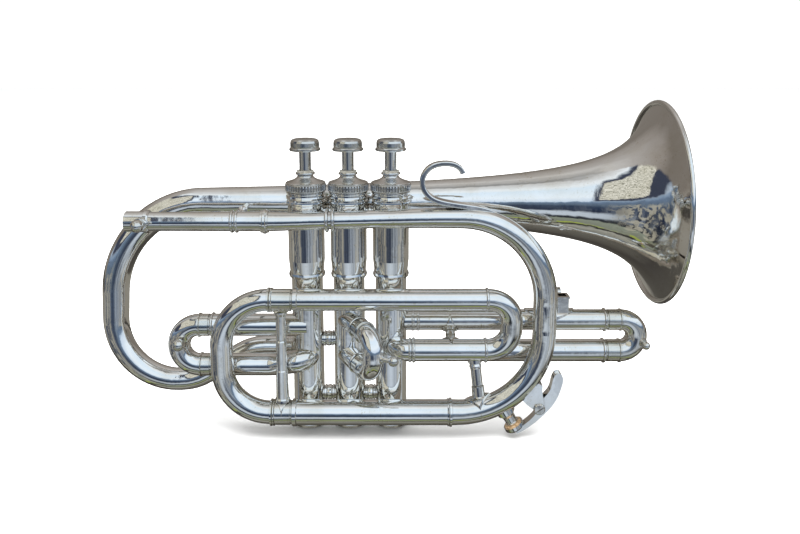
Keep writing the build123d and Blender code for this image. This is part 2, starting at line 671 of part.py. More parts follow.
slide_2_middle_z = (slide_2_upper_z + slide_2_lower_z) / 2
with BuildPart() as slide_2_knob:
    crown = along_slide_2(slide_2_crown, slide_2_middle_z)
    add(pull_knob(Plane(origin=crown.origin, x_dir=(0, 0, 1), z_dir=(0.89, -0.45, 0)), slide_2_radius - 0.1,
                  4.2, 2.85).part)
    with BuildSketch(Plane(origin=crown.origin, x_dir=slide_2_side, z_dir=(0, 0, 1))):
        Circle(slide_2_radius - 0.35)
    extrude(amount=4, both=True, mode=Mode.SUBTRACT)
    add(slide_2_bow_piece.part, mode=Mode.SUBTRACT)
write(slide_2_knob, "second_slide_knob")

# ---- Crossovers and spacers between the casings --------------------------------------------------
upper_spacer_z = 2.5
upper_spacer_outline = [
    (0.0, 0.0), (2.2, 0.0), (2.2, 10.9), (2.8, 11.3), (3.0, 12.1), (2.8, 12.9), (2.2, 13.3),
    (2.2, valve_pitch), (0.0, valve_pitch)]


def knuckle_outline(bore):
    """Outline of a turned link from one valve axis to the next: a ball between two collars."""
    middle = valve_pitch / 2
    half = [(3.8, 0.0), (3.8, middle - 2.8), (4.6, middle - 2.6), (4.6, middle - 1.9), (3.9, middle - 1.6),
            (4.3, middle - 1.0), (4.6, middle)]
    other_half = [(radius, valve_pitch - at) for radius, at in half[-2::-1]]
    return [(bore, 0.0)] + half + other_half + [(bore, valve_pitch)]


def trimmed_links(links):
    """Turned links cut back to the outsides of the casings. Each is (place, outline)."""
    with BuildPart() as row:
        for place, outline in links:
            add(turned([place], outline).part)
        for x in valve_x:
            add(rod(upright(x, valve_y, -34), casing_upper_radius, 60), mode=Mode.SUBTRACT)
            add(rod(upright(x, valve_y, casing_foot_z), casing_lower_radius, 84), mode=Mode.SUBTRACT)
    return row


crossovers = []
spacers = []
for number in (0, 1):
    x = valve_x[number]
    crossovers.append((along_x(x, valve_y, knuckle_heights[number]), knuckle_outline(knuckle_bore)))
    spacers.append((along_x(x, valve_y, knuckle_heights[1 - number]), knuckle_outline(0.0)))
    spacers.append((along_x(x, valve_y, upper_spacer_z), upper_spacer_outline))
write(trimmed_links(crossovers), "valve_crossovers")
write(trimmed_links(spacers), "casing_spacers")

# ---- Bell ---------------------------------------------------------------------------------------
tilt = math.radians(bell_tilt)
bell_down = Vector(0, -math.sin(tilt), -math.cos(tilt))
bell_side = Vector(1, 0, 0).cross(bell_down)
bow_start_x = bow_left_x + bow_top_bend
bell_length = bell_rim_x - bow_start_x


def flare_radius(distance):
    """Outside radius of the bell at a distance behind the rim."""
    return bell_rim_radius * (bell_flare_reach / (bell_flare_reach + distance)) ** bell_flare_power


def bell_point(x, depth):
    """A point in the leaning plane of the bell bow."""
    return Vector(x, bell_y, bell_z) + bell_down * depth


bell_start_radius = flare_radius(bell_length)
flare_steps = [0, 2, 4.5, 8, 12, 18, 26, 40, 60, 90, 130, 180, 225, bell_length]
tail_rise_x, tail_level_x = 27.0, 62.0
bow_points = [
    bell_point(bow_start_x, 0), bell_point(bow_left_x, 0), bell_point(bow_left_x, bow_depth),
    bell_point(tail_rise_x, bow_depth), bell_point(tail_level_x, tail_depth),
    bell_point(tail_end_x, tail_depth)]
bow_bends = [bow_top_bend - 0.02, bow_low_bend - 0.02, 30.0, 30.0]
bow_stations = [(0, bell_start_radius), (0.35, 7.9), (0.62, 6.9), (0.75, 6.5), (1.0, tail_radius)]

with BuildPart() as bell:
    with BuildSketch(Plane(origin=(bell_rim_x, bell_y, bell_z), x_dir=(-1, 0, 0), z_dir=(0, 1, 0))):
        with BuildLine():
            Spline(*[(step, flare_radius(step)) for step in flare_steps])
            Spline(*[(step, flare_radius(step) - bell_wall) for step in flare_steps])
            Line((0, flare_radius(0)), (0, flare_radius(0) - bell_wall))
            Line((bell_length, bell_start_radius), (bell_length, bell_start_radius - bell_wall))
        make_face()
        with Locations((0.3, bell_rim_radius)):
            Circle(bead_radius)
    revolve(axis=Axis((0, bell_y, bell_z), (1, 0, 0)))
    add(pipe(bow_points, bow_bends, bow_stations, side=bell_side).part)
write(bell, "bell")

# The tail's ferrule, and the elbow that turns it into the back of the first casing
tail_at = bell_point(tail_end_x, tail_depth)
tail_elbow_x = valve_x[0] - 0.5
with BuildPart() as tail_elbow:
    add(pipe([
        tail_at, Vector(tail_elbow_x, tail_at.Y, tail_at.Z), Vector(tail_elbow_x, valve_y, tail_at.Z)],
        [6.5], [(0, tail_radius)], side=(0, 0, 1)).part)
    add(valve_1, mode=Mode.SUBTRACT)
write(tail_elbow, "bell_tail_elbow")

# ---- Rings and ferrules on the fixed tubes -------------------------------------------------------
crook_slope = crook_top_z / (crook_rise_x - crook_lift_x)
double_ring_x = 112.0
double_ring_at = [
    Plane(origin=(x, 0, (x - crook_lift_x) * crook_slope), x_dir=(0, 1, 0), z_dir=(1, 0, crook_slope))
    for x in (double_ring_x - 1.7, double_ring_x + 1.7)]
lead_ring_x = [58.4, 61.0]
lead_outside = turned([along_x(0, 0, 0)], [
    (0.0, 1.5), (lead_radius, 1.5), (lead_radius, 30.0), (crook_start_radius, lead_end_x),
    (0.0, lead_end_x)]).part
tail_outside = pipe(bow_points, bow_bends, bow_stations, thickness=0, side=bell_side).part
with BuildPart() as ferrules:
    add(rings([along_x(x, 0, 0) for x in lead_ring_x], [lead_radius] * 2, height=1.0).part)
    add(turned([along_x(lead_end_x, 0, 0)], [
        (lead_radius, -2.2), (crook_start_radius + 0.7, -2.0), (crook_start_radius + 0.7, -1.0),
        (crook_start_radius + 1.25, -0.6), (crook_start_radius + 1.25, 0.8), (crook_start_radius + 0.7, 1.2),
        (crook_start_radius + 0.7, 2.0), (lead_radius, 2.2)]).part)
    add(rings(double_ring_at, [crook_start_radius] * 2, height=1.2).part)
    add(rings([along_x(tail_end_x - 1.0, tail_at.Y, tail_at.Z)], [tail_radius - 0.1], height=0.7).part)
    for trim in (lead_outside, crook_outside, tail_outside):
        add(trim, mode=Mode.SUBTRACT)
    add(rings([along_x(tail_end_x + 1.4, tail_at.Y, tail_at.Z)], [tail_radius], height=0.5).part)
    add(turned([along_x(bottom_joint_x - 2.6, 0, bottom_z)], [
        (crook_end_radius, 0.0), (crook_end_radius + 0.5, 0.1), (crook_end_radius + 0.6, 0.6),
        (crook_end_radius + 0.3, 0.9), (crook_end_radius + 0.9, 1.4), (crook_end_radius + 0.9, 2.5),
        (crook_end_radius, 2.6)]).part)
    add(rings([along_x(return_left_x + 1.2, return_y, return_z),
               along_x(return_left_x - 0.9, return_y, return_z),
               along_x(main_right_x - 0.9, 0, main_z),
               along_x(main_right_x - 0.9, return_y, return_z)],
              [return_radius, return_radius - 0.25, main_radius, return_radius]).part)
    for mouth_x, radius, z in ((bottom_left_x, crook_end_radius, bottom_z),
                               (main_left_x, main_radius, main_z)):
        add(turned([along_x(mouth_x, 0, z)], [
            (radius, 0.0), (radius + 0.55, 0.3), (radius + 0.6, 2.4), (radius, 2.8)]).part)
    for z in (slide_1_upper_z, slide_1_lower_z):
        add(rings([along_x(slide_1_mouth_x + 0.9, slide_1_y, z)], [slide_1_radius]).part)
    for z, radius in slide_3_legs_spec:
        add(rings([along_x(slide_3_mouth_x - 0.9, slide_3_y, z)], [radius]).part)
    add(rings([along_x(158.0, slide_3_y, slide_3_upper_z), along_x(161.0, slide_3_y, slide_3_upper_z)],
              [slide_3_upper_radius] * 2, height=0.5).part)
    for z in slide_2_heights:
        add(rings([along_slide_2(slide_2_mouth - 0.9, z)], [slide_2_radius], height=0.5).part)
write(ferrules, "tube_ferrules")

# ---- Saddles that hold the leadpipe to the first and third casings ---------------------------------
saddle_width = 14.8
saddle_low_z = -16.2
saddle_top_z = 4.5
saddle_skin = 0.8
with BuildPart() as saddles:
    for x in (valve_x[0], valve_x[2]):
        with BuildSketch(Plane(origin=(x, valve_y, 0), x_dir=(1, 0, 0), z_dir=(0, -1, 0))):
            with Locations((0, saddle_low_z + saddle_width / 2)):
                Circle(saddle_width / 2)
            with Locations((0, (saddle_low_z + saddle_width / 2 + saddle_top_z) / 2)):
                Rectangle(saddle_width, saddle_top_z - saddle_low_z - saddle_width / 2)
        extrude(amount=casing_upper_radius + saddle_skin)
        with BuildSketch(upright(x, valve_y, saddle_low_z - 5)):
            Circle(40)
            Circle(casing_upper_radius + saddle_skin, mode=Mode.SUBTRACT)
        extrude(amount=40, mode=Mode.SUBTRACT)
        with BuildSketch(Plane(origin=(x, valve_y, 0), x_dir=(1, 0, 0), z_dir=(0, -1, 0))):
            with Locations((0, (x - crook_lift_x) * crook_slope)):
                Rectangle(10.0, 8.0)
        extrude(amount=valve_y - 3.0)
        with BuildSketch(upright(x, valve_y, -40)):
            Circle(casing_upper_radius)
        extrude(amount=80, mode=Mode.SUBTRACT)
    add(crook_outside, mode=Mode.SUBTRACT)
write(saddles, "leadpipe_saddles")

# ---- Braces ---------------------------------------------------------------------------------------
def baluster(length, waist, swell):
    """Outline of a turned brace of a length: full ends, a thin waist and a swelling in the middle."""
    return [(0.0, 0.0), (swell, 0.0), (swell, 1.6), (waist, 3.0), (waist, length / 2 - 2.2),
            (swell, length / 2 - 0.8), (swell, length / 2 + 0.8), (waist, length / 2 + 2.2),
            (waist, length - 3.0), (swell, length - 1.6), (swell, length), (0.0, length)]


bell_outside = turned([Plane(origin=(bell_rim_x, bell_y, bell_z), x_dir=(0, 1, 0), z_dir=(-1, 0, 0))],
                      [(0.0, 40.0)] + [(flare_radius(step), step) for step in flare_steps if step >= 40]
                      + [(0.0, bell_length)]).part
rear_brace_x = 59.7
rear_brace = turned([Plane(origin=(rear_brace_x, 0, 0), x_dir=(1, 0, 0), z_dir=(0, bell_y, bell_z))],
                    baluster(bell_y, 1.7, 2.8)).part
with BuildPart() as bell_braces:
    add(rear_brace)
    add(lead_outside, mode=Mode.SUBTRACT)
    add(ferrules.part, mode=Mode.SUBTRACT)
    for x in (valve_x[0], valve_x[2]):
        with BuildSketch(Plane(origin=(x, valve_y, -1.0), x_dir=(1, 0, 0), z_dir=(0, 1, 0))):
            RectangleRounded(13.0, 7.0, 2.0)
        extrude(amount=bell_y - valve_y)
        add(rod(upright(x, valve_y, -40), casing_upper_radius, 80), mode=Mode.SUBTRACT)
    add(bell_outside, mode=Mode.SUBTRACT)
write(bell_braces, "bell_braces")

# From the return tube: one brace down to the bottom tube, one back to the third slide's upper tube
low_start, low_end = Vector(192.4, return_y, return_z), Vector(196.6, 0, bottom_z)
low_length = (low_end - low_start).length
back_start = Vector(179.6, return_y, return_z)
back_end = Vector(179.6, slide_3_y, slide_3_upper_z)
back_length = (back_end - back_start).length
with BuildPart() as return_braces:
    add(turned([between(low_start, low_end)], [
        (0.0, 0.0), (3.9, 0.0), (3.9, return_radius + 0.8), (3.1, return_radius + 1.2),
        (3.5, return_radius + 2.6), (3.5, return_radius + 3.4), (3.1, return_radius + 4.0), (3.1, 19.8),
        (2.5, 20.3), (3.6, 21.0), (3.7, 26.4), (4.3, 28.0), (4.3, low_length), (0.0, low_length)]).part)
    low_turn = math.asin((low_end.X - loop_centre.X) / crook_low_bend)
    low_up = Vector(-math.sin(low_turn), 0, math.cos(low_turn))
    low_pad = Plane(origin=loop_centre - low_up * crook_low_bend, x_dir=(low_up.Z, 0, -low_up.X),
                    z_dir=low_up)
    add(diamond_foot(low_pad, 7.0, 13.0, 15.0, thickness=1.4))
    back_axis = back_end - back_start
    for at, tube, way in ((back_start, return_radius, 1), (back_end, slide_3_upper_radius, -1)):
        add(diamond_foot(Plane(origin=at, x_dir=(1, 0, 0), z_dir=back_axis * way), tube, 2 * tube + 1.4, 9.6))
    add(turned([between(back_start, back_end)], [
        (0.0, 0.0), (3.0, 0.0), (3.0, return_radius + 1.4), (2.2, return_radius + 1.9),
        (2.2, back_length / 2 - 1.1), (2.9, back_length / 2 - 0.6), (2.9, back_length / 2 + 0.6),
        (2.2, back_length / 2 + 1.1), (2.2, back_length - slide_3_upper_radius - 1.9),
        (3.0, back_length - slide_3_upper_radius - 1.4), (3.0, back_length), (0.0, back_length)]).part)
    add(rod(along_x(150, return_y, return_z), return_radius, 70), mode=Mode.SUBTRACT)
    add(rod(along_x(150, slide_3_y, slide_3_upper_z), slide_3_upper_radius, 70), mode=Mode.SUBTRACT)
    add(rod(along_x(150, 0, bottom_z), crook_end_radius, 60), mode=Mode.SUBTRACT)
    add(crook_outside, mode=Mode.SUBTRACT)
write(return_braces, "return_tube_braces")

# ---- Little-finger hook ---------------------------------------------------------------------------
hook_width = 7.5
hook_thickness = 2.8
hook_line = [(203.0, 3.9), (189.0, 8.3), (176.0, 10.4), (166.4, 14.2), (162.6, 21.8), (166.0, 29.4),
             (174.6, 32.2), (181.4, 30.8), (184.6, 26.8)]
with BuildPart() as hook:
    with BuildLine(mode=Mode.PRIVATE) as hook_path:
        Spline(*side_points(hook_line))
    hook_wire = hook_path.wire()
    hook_sections = []
    for share, width in ((0.0, 1.6), (0.12, 5.2), (0.3, hook_width), (0.7, hook_width - 0.8), (1.0, 5.0)):
        with BuildSketch(across(hook_wire, share, (0, 1, 0)), mode=Mode.PRIVATE) as section:
            RectangleRounded(width, hook_thickness, 0.75 if width > 1.6 else 0.7)
        hook_sections.append(section.sketch)
    sweep(sections=hook_sections, path=hook_wire, multisection=True)
    add(crook_outside, mode=Mode.SUBTRACT)
write(hook, "finger_hook")

# ---- Lyre holder on the third slide's upper tube -----------------------------------------------------
lyre_x = 245.0
lyre_size_x, lyre_size_y = 7.0, 8.4
lyre_socket = 4.6
lyre_top_z = -47.8
lyre_flange = 1.1
lyre_screw_z = -51.0
lyre_floor_z = slide_3_upper_z + slide_3_upper_radius
lyre_screw_radius = 1.4
lyre_rear_y = slide_3_y + lyre_size_y / 2
with BuildPart() as lyre_holder:
    with BuildSketch(Plane.XY.offset(slide_3_upper_z)):
        with Locations((lyre_x, slide_3_y)):
            Rectangle(lyre_size_x, lyre_size_y)
    extrude(amount=lyre_top_z - slide_3_upper_z)
    fillet(lyre_holder.edges().filter_by(Axis.Z), 0.6)
    lyre_pad = Plane(origin=(lyre_x - 7.5, slide_3_y, slide_3_upper_z), x_dir=(1, 0, 0), z_dir=(0, 0, 1))
    add(wrapped_pad(lyre_pad, slide_3_upper_radius, 0.8, lambda: Ellipse(14.5, slide_3_upper_radius)))
    with BuildSketch(Plane.XY.offset(lyre_top_z - lyre_flange)):
        with Locations((lyre_x, slide_3_y)):
            RectangleRounded(lyre_size_x + 1.0, lyre_size_y + 1.0, 1.0)
    extrude(amount=lyre_flange)
    with BuildSketch(Plane.XY.offset(lyre_top_z)):
        with Locations((lyre_x, slide_3_y)):
            Rectangle(lyre_socket, lyre_socket)
    extrude(amount=lyre_floor_z + 0.7 - lyre_top_z, mode=Mode.SUBTRACT)
    add(rod(Plane(origin=(lyre_x, slide_3_y, lyre_screw_z), z_dir=(0, 1, 0)), lyre_screw_radius, 10),
        mode=Mode.SUBTRACT)
    add(rod(along_x(200, slide_3_y, slide_3_upper_z), slide_3_upper_radius, 80), mode=Mode.SUBTRACT)
write(lyre_holder, "lyre_holder")

with BuildPart() as lyre_screw:
    rear = Plane(origin=(lyre_x, slide_3_y, lyre_screw_z), x_dir=(1, 0, 0), z_dir=(0, 1, 0))
    add(turned([rear], [
        (0.0, lyre_socket / 2 + 0.1), (lyre_screw_radius - fit, lyre_socket / 2 + 0.1),
        (lyre_screw_radius - fit, lyre_size_y / 2 + 0.1), (2.0, lyre_size_y / 2 + 0.1),
        (2.0, lyre_size_y / 2 + 1.0), (1.7, lyre_size_y / 2 + 2.0), (0.0, lyre_size_y / 2 + 2.0)]).part)
    with BuildSketch(Plane(origin=(lyre_x, lyre_rear_y, lyre_screw_z), x_dir=(0, 1, 0), z_dir=(1, 0, 0))):
        with Locations((5.6, 0)):
            Ellipse(4.4, 4.9)
    extrude(amount=1.0, both=True)
write(lyre_screw, "lyre_screw")

# ---- Water key at the foot of the loop ---------------------------------------------------------------
def on_loop(angle, reach):
    """A point square to the lower bend, at an angle below level and a reach from the bend's centre."""
    return Vector(loop_centre.X + reach * math.cos(math.radians(angle)), 0,
                  loop_centre.Z - reach * math.sin(math.radians(angle)))


def flank(depth):
    """An upright plane at a depth whose sketch coordinates are X and Z."""
    return Plane(origin=(0, depth, 0), x_dir=(1, 0, 0), z_dir=(0, -1, 0))


def on_flank(profile):
    """Sketch points of (angle, reach beyond the tube's skin) points round the lower bend."""
    points = [on_loop(angle, loop_skin + beyond) for angle, beyond in profile]
    return [(point.X, point.Z) for point in points]


loop_skin = crook_low_bend + crook_end_radius
nipple_angle = 60.0
pivot_angle = 43.9
pivot_beyond = 8.1
nipple_height = crook_end_radius + 7.4      # of the nipple's rim above the tube's centreline
nipple_bore = 1.6
nipple_out = on_loop(nipple_angle, 1) - loop_centre
nipple_place = Plane(origin=on_loop(nipple_angle, crook_low_bend), x_dir=(0, 1, 0), z_dir=nipple_out)
pivot_point = on_loop(pivot_angle, loop_skin + pivot_beyond)
pivot_radius = 1.5
ear_gap = 7.2
ear_thickness = 1.3
ear_radius = 2.9
ear_profile = [(32.5, -2.0), (32.5, 0.8), (35.0, 2.2), (41.9, pivot_beyond + 1.9), (46.1, pivot_beyond - 1.2),
               (47.0, 0.8), (47.0, -2.0)]
saddle_angle = 39.75

with BuildPart() as key_saddle:
    saddle_out = on_loop(saddle_angle, 1) - loop_centre
    with BuildSketch(Plane(origin=on_loop(saddle_angle, crook_low_bend), x_dir=(0, 1, 0), z_dir=saddle_out)):
        RectangleRounded(ear_gap + 2 * ear_thickness, 14.0, 2.5)
    extrude(amount=crook_end_radius + 0.6)
    for depth in (-ear_gap / 2, ear_gap / 2 + ear_thickness):
        with BuildSketch(flank(depth)):
            Polygon(*on_flank(ear_profile), align=None)
            with Locations((pivot_point.X, pivot_point.Z)):
                Circle(ear_radius)
        extrude(amount=ear_thickness)
    with BuildSketch(flank(-10)):
        with Locations((pivot_point.X, pivot_point.Z)):
            Circle(pivot_radius)
    extrude(amount=-20, mode=Mode.SUBTRACT)
    add(turned([nipple_place], [
        (0.0, 0.0), (5.2, 0.0), (5.2, crook_end_radius + 0.3), (4.2, crook_end_radius + 1.2),
        (3.5, crook_end_radius + 2.6), (3.3, nipple_height - 1.2), (3.8, nipple_height - 0.7),
        (3.8, nipple_height), (nipple_bore, nipple_height), (nipple_bore, 5.0), (0.0, 5.0)]).part)
    add(rod(nipple_place, nipple_bore, 20), mode=Mode.SUBTRACT)
    add(crook_outside, mode=Mode.SUBTRACT)
write(key_saddle, "water_key_saddle")

cork_thickness = 2.3
cork_radius = 5.0
cork_start = nipple_height + overlap_free
cork_end = cork_start + cork_thickness
with BuildPart() as key_cork:
    add(turned([nipple_place], [
        (0.0, cork_start), (cork_radius, cork_start), (cork_radius, cork_end), (0.0, cork_end)]).part)
write(key_cork, "water_key_cork")

# The lever in side view, from the finger's end over the hub to the cup
lever_outer = [(22.4, 6.4), (23.6, 9.0), (28.2, 11.1), (34.0, 12.6), (39.8, 13.3), (45.7, 13.4), (51.3, 13.6),
               (57.0, 13.6), (60.5, 13.5)]
lever_inner = [(60.5, 11.4), (55.4, 10.9), (49.0, 10.2), (43.9, 8.5), (39.1, 6.6), (32.8, 6.5), (28.0, 4.9),
               (23.9, 4.6)]
lever_hub = 3.2
lever_width = 5.6
cup_radius = 5.8
with BuildPart() as key_lever:
    with BuildSketch(flank(lever_width / 2)):
        with BuildLine():
            outer = Spline(*on_flank(lever_outer))
            inner = Spline(*on_flank(lever_inner))
            Line(outer @ 1, inner @ 0)
            Line(inner @ 1, outer @ 0)
        make_face()
        with Locations((pivot_point.X, pivot_point.Z)):
            Circle(lever_hub)
    extrude(amount=lever_width)
    add(turned([nipple_place], [
        (0.0, cork_end), (cork_radius, cork_end), (cork_radius, cork_start + 0.7),
        (cup_radius, cork_start + 0.7), (cup_radius, cork_end + 0.5), (4.9, cork_end + 1.5),
        (2.6, cork_end + 2.2), (0.0, cork_end + 2.4)]).part)
    with BuildSketch(flank(lever_width)):
        with Locations((pivot_point.X, pivot_point.Z)):
            Circle(pivot_radius + fit)
    extrude(amount=2 * lever_width, mode=Mode.SUBTRACT)
    add(key_cork.part, mode=Mode.SUBTRACT)
write(key_lever, "water_key_lever")

# Slotted pivot screw through both ears, with a turn of spring wire beside each end of the hub
key_spring_y = 3.2
pin_half = ear_gap / 2 + ear_thickness
pin_head = pin_half + 1.5
with BuildPart() as key_pin:
    add(turned([Plane(origin=pivot_point, x_dir=(1, 0, 0), z_dir=(0, -1, 0))], [
        (0.0, -pin_half), (pivot_radius, -pin_half), (pivot_radius, pin_half), (3.2, pin_half),
        (3.3, pin_half + 0.5), (2.7, pin_half + 1.3), (0.0, pin_head)]).part)
    with BuildSketch(flank(-pin_half - 0.8)):
        with Locations((pivot_point.X, pivot_point.Z)):
            Rectangle(9.0, 0.7, rotation=35)
    extrude(amount=2.0, mode=Mode.SUBTRACT)
    for offset in (-key_spring_y, key_spring_y):
        add(turned([Plane(origin=pivot_point + Vector(0, offset, 0), x_dir=(1, 0, 0), z_dir=(0, -1, 0))], [
            (pivot_radius + 0.1, -0.2), (pivot_radius + 1.0, -0.2), (pivot_radius + 1.0, 0.2),
            (pivot_radius + 0.1, 0.2)]).part)
write(key_pin, "water_key_pivot")
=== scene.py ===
import json
import math

import bpy
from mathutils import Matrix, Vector


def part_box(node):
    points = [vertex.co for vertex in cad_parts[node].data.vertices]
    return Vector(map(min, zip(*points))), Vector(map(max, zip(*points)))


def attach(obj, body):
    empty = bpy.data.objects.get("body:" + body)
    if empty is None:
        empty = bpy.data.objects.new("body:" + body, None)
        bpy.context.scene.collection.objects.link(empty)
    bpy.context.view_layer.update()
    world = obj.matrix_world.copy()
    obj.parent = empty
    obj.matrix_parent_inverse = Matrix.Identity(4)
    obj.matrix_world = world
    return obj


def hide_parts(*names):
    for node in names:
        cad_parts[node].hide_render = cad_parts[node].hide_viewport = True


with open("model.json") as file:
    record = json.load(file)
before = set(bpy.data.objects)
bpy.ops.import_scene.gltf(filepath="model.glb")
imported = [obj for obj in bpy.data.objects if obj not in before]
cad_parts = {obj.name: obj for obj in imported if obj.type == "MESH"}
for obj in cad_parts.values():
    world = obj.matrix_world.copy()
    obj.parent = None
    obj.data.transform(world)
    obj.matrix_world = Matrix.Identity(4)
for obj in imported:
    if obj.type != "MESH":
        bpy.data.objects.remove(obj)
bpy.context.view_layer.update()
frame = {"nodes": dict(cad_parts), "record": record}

# A silver-plated cornet with three piston valves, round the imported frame. Metres.
# Origin: the mouthpiece receiver's mouth. +X to the bell, +Y away from the camera, +Z up.
mm = 0.001
rest_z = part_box("bottom_caps")[0][2]         # the caps' lowest point, where the floor lies
bell_axis = (0.041, 0.0034)                  # the flare's axis runs along X at this Y and Z
flare_start_x, flare_end_x = 0.200, 0.312

# ---- Camera -------------------------------------------------------------------------------------
look_down = 9                                # degrees below level
camera_data = bpy.data.cameras.new("camera")
camera_data.lens = 33.345
camera_data.sensor_width = 36.0
camera_data.shift_y = -0.10875
camera_data.clip_start = 0.01
camera = bpy.data.objects.new("camera", camera_data)
camera.location = (0.15046, -0.39833, 0.08616)
camera.rotation_euler = (math.radians(90 - look_down), 0, 0)
bpy.context.collection.objects.link(camera)
bpy.context.scene.camera = camera
bpy.context.scene.view_settings.view_transform = "Standard"


# ---- Node helpers -------------------------------------------------------------------------------
def node(tree, kind, **settings):
    """A shader node with its attributes set by name."""
    made = tree.nodes.new(kind)
    for key, value in settings.items():
        setattr(made, key, value)
    return made


def link(tree, start, end):
    tree.links.new(start, end)


def ramp(tree, factor, stops):
    """A colour ramp on a factor; stops are (place, colour or grey)."""
    made = node(tree, "ShaderNodeValToRGB")
    elements = made.color_ramp.elements
    while len(elements) < len(stops):
        elements.new(0.5)
    for element, (place, tone) in zip(elements, stops):
        element.position = place
        element.color = (*tone, 1) if isinstance(tone, tuple) else (tone, tone, tone, 1)
    link(tree, factor, made.inputs["Fac"])
    return made.outputs["Color"]


def math_node(tree, operation, *values, clamp=False):
    """A maths node on sockets or numbers."""
    made = node(tree, "ShaderNodeMath", operation=operation, use_clamp=clamp)
    for socket, value in zip(made.inputs, values):
        if isinstance(value, bpy.types.NodeSocket):
            link(tree, value, socket)
        else:
            socket.default_value = value
    return made.outputs[0]


def scaled(tree, value, amount, base, clamp=False):
    """A value times an amount, added to a base."""
    return math_node(tree, "MULTIPLY_ADD", value, amount, base, clamp=clamp)


def product(tree, *values):
    """Several sockets or numbers multiplied."""
    total = values[0]
    for value in values[1:]:
        total = math_node(tree, "MULTIPLY", total, value)
    return total


def window(tree, factor, start, end, edge):
    """One between start and end of a factor, falling to nothing over an edge outside them."""
    return ramp(tree, factor, [(start - edge, 0.0), (start, 1.0), (end, 1.0), (end + edge, 0.0)])


def mix(tree, factor, first, second):
    """Two colours mixed by a factor, which is always a socket."""
    made = node(tree, "ShaderNodeMix", data_type="RGBA")
    for label, kind, value in (("Factor", "VALUE", factor), ("A", "RGBA", first), ("B", "RGBA", second)):
        socket = next(s for s in made.inputs if s.name == label and s.type == kind)
        if isinstance(value, bpy.types.NodeSocket):
            link(tree, value, socket)
        else:
            socket.default_value = (*value, 1)
    return next(s for s in made.outputs if s.type == "RGBA")


def noise(tree, vector, scale, detail=2.0, roughness=0.5, distortion=0.0):
    """Cloudy noise on a vector."""
    made = node(tree, "ShaderNodeTexNoise")
    made.inputs["Scale"].default_value = scale
    made.inputs["Detail"].default_value = detail
    made.inputs["Roughness"].default_value = roughness
    made.inputs["Distortion"].default_value = distortion
    link(tree, vector, made.inputs["Vector"])
    return made.outputs["Fac"]


def hairlines(tree, place, stretch, stops):
    """Thin scratches: fine noise stretched by a scale for each axis, cut off by a ramp."""
    made = node(tree, "ShaderNodeMapping")
    made.inputs["Scale"].default_value = stretch
    link(tree, place, made.inputs["Vector"])
    return ramp(tree, noise(tree, made.outputs["Vector"], 1.0, 2, 0.6), stops)


# ---- What the metal mirrors ---------------------------------------------------------------------
# Three measures of a direction. Level: 0 straight down, 0.5 level, 1 straight up. Across: 0 at the
# left, 1 at the right. Around: 0.5 to the camera's side, less to the left, more to the right.
panel_light = (0.68, 0.77, 0.88)
plain_white = (1.07, 1.07, 1.07)


def front_bands(tree, level):
    """The camera's side of the room: pale ground, a dark band up to the horizon, bright sky above."""
    return ramp(tree, level, [
        (0.0, (0.17, 0.17, 0.15)), (0.045, (0.36, 0.36, 0.32)), (0.055, (0.02, 0.02, 0.02)),
        (0.068, (0.06, 0.06, 0.05)), (0.073, (0.24, 0.25, 0.19)), (0.084, (0.25, 0.27, 0.20)),
        (0.09, (0.20, 0.22, 0.18)), (0.155, (0.24, 0.27, 0.22)), (0.168, (0.03, 0.035, 0.04)),
        (0.34, (0.014, 0.020, 0.042)), (0.46, (0.028, 0.045, 0.085)), (0.50, (0.09, 0.13, 0.19)),
        (0.55, (0.14, 0.20, 0.30)), (0.572, (0.24, 0.33, 0.46)), (0.59, (0.60, 0.72, 0.88)),
        (0.70, (0.84, 0.94, 1.04)), (0.88, (0.74, 0.88, 1.02)), (0.94, (0.84, 0.90, 0.95)),
        (0.978, (0.60, 0.61, 0.62)), (1.0, (0.28, 0.28, 0.28))])


def back_bands(tree, level):
    """The far side of the room: a dull ground and a warm wall that grows lighter upwards."""
    return ramp(tree, level, [
        (0.0, (0.12, 0.115, 0.10)), (0.11, (0.055, 0.05, 0.045)), (0.25, (0.08, 0.075, 0.065)),
        (0.28, (0.25, 0.24, 0.21)), (0.40, (0.26, 0.245, 0.215)), (0.42, (0.06, 0.055, 0.05)),
        (0.45, (0.05, 0.05, 0.045)), (0.47, (0.30, 0.28, 0.25)), (0.52, (0.20, 0.18, 0.16)),
        (0.68, (0.19, 0.17, 0.15)), (0.76, (0.29, 0.265, 0.245)), (0.93, (0.42, 0.40, 0.385)),
        (0.975, (0.56, 0.55, 0.54)), (1.0, (0.28, 0.28, 0.28))])


